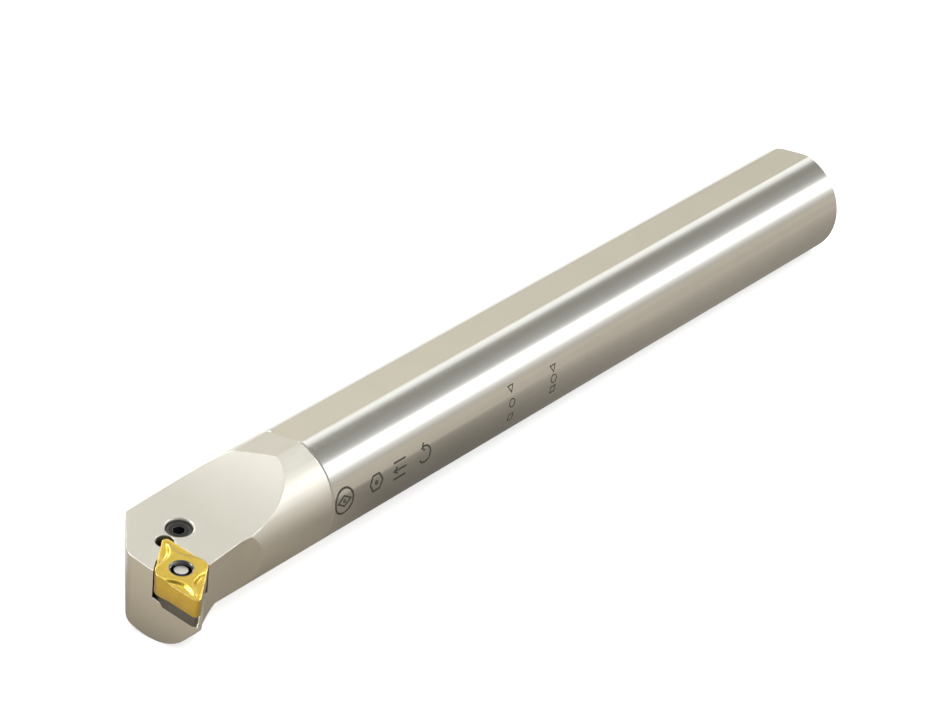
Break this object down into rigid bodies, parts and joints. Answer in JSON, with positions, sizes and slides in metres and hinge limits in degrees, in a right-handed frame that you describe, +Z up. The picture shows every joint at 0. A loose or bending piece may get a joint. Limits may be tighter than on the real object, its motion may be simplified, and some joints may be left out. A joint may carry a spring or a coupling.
{
  "type": "boring bar",
  "caption": "Right-hand steel boring bar: round shank with two flats, angled head and a rhombic insert held in a tilted pocket by a lever lock.",
  "frame": {"origin": "centre of the shank's rear end face", "axes": "+X along the shank to the cutting head, +Y to the side that the cutting tip points to, +Z up out of the upper flat and the insert's rake side"},
  "size_m": [0.3, 0.038, 0.0338],
  "materials": {
    "bar_steel": "satin head, ground and polished shank",
    "insert_coating": "gold coating on cemented carbide",
    "shim_carbide": "bare ground carbide, dark grey",
    "pin_steel": "plain spring steel",
    "lever_steel": "bright",
    "screw_black": "black oxide"
  },
  "bodies": {
    "bar": {"bar_body": "bar_steel", "insert": "insert_coating", "shim": "shim_carbide", "shim_pin": "pin_steel"},
    "lever_screw": {"lever_screw": "screw_black"},
    "lever": {"lever": "lever_steel"}
  },
  "joints": [
    {"name": "screw_travel", "type": "slide", "parent": "bar", "child": "lever_screw", "axis": [0.1022, 0.2079, 0.9728], "range_m": [0, 0.001]},
    {"name": "lever_rock", "type": "hinge", "parent": "bar", "child": "lever", "pos_m": [0.2921, 0.00849, -0.00913], "axis": [-0.6854, 0.7235, -0.0826], "range_deg": [-0.15, 6.2]}
  ],
  "couplings": [
    {"joint": "lever_rock", "follows": "screw_travel", "rad_per_m": 81.3}
  ]
}
